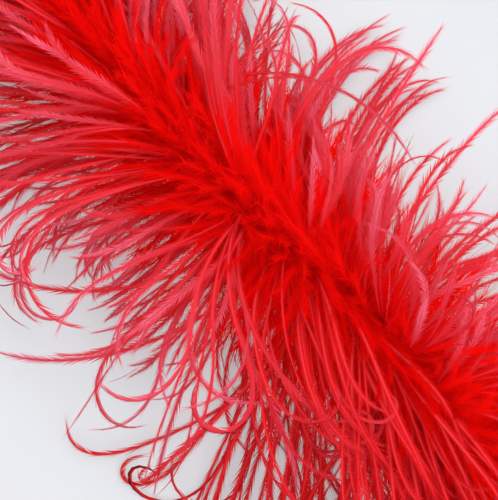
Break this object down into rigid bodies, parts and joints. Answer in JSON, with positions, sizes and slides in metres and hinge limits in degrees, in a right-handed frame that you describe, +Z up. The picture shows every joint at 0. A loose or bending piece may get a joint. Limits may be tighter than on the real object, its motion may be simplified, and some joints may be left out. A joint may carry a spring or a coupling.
{
  "type": "feather boa",
  "caption": "Limp decorative boa: long curling ostrich flues over a dense down core on a twisted cord, with a loop at each end, laid in three close runs.",
  "frame": {"origin": "on the resting surface, under the middle of the whole boa's box", "axes": "+Z up from the surface; +X along the three parallel runs, the longest extent"},
  "size_m": [0.758, 0.696, 0.095],
  "materials": {
    "marabou_down": "dyed down, soft and matt",
    "ostrich_flue": "dyed ostrich flue, soft silky sheen",
    "cotton_cord": "dyed twisted cotton, matt",
    "sewing_thread": "dyed wound thread, slight sheen"
  },
  "bodies": {
    "root": {"carrier_cord": "cotton_cord", "first_end_whipping": "sewing_thread", "first_end_loop": "cotton_cord", "last_end_whipping": "sewing_thread", "last_end_loop": "cotton_cord", "marabou_sleeve_01": "marabou_down", "marabou_sleeve_02": "marabou_down", "marabou_sleeve_03": "marabou_down", "marabou_sleeve_04": "marabou_down", "marabou_sleeve_05": "marabou_down", "marabou_sleeve_06": "marabou_down", "marabou_sleeve_07": "marabou_down", "marabou_sleeve_08": "marabou_down", "marabou_sleeve_09": "marabou_down", "marabou_sleeve_10": "marabou_down", "marabou_sleeve_11": "marabou_down", "marabou_sleeve_12": "marabou_down", "marabou_sleeve_13": "marabou_down", "marabou_sleeve_14": "marabou_down", "marabou_sleeve_15": "marabou_down", "marabou_sleeve_16": "marabou_down", "marabou_sleeve_17": "marabou_down", "marabou_sleeve_18": "marabou_down", "marabou_sleeve_19": "marabou_down", "ostrich_fan_01": "ostrich_flue", "ostrich_fan_02": "ostrich_flue", "ostrich_fan_03": "ostrich_flue", "ostrich_fan_04": "ostrich_flue", "ostrich_fan_05": "ostrich_flue", "ostrich_fan_06": "ostrich_flue", "ostrich_fan_07": "ostrich_flue", "ostrich_fan_08": "ostrich_flue", "ostrich_fan_09": "ostrich_flue", "ostrich_fan_10": "ostrich_flue", "ostrich_fan_11": "ostrich_flue", "ostrich_fan_12": "ostrich_flue", "ostrich_fan_13": "ostrich_flue", "ostrich_fan_14": "ostrich_flue", "ostrich_fan_15": "ostrich_flue", "ostrich_fan_16": "ostrich_flue", "ostrich_fan_17": "ostrich_flue", "ostrich_fan_18": "ostrich_flue", "ostrich_fan_19": "ostrich_flue", "ostrich_fan_20": "ostrich_flue"}
  },
  "joints": []
}
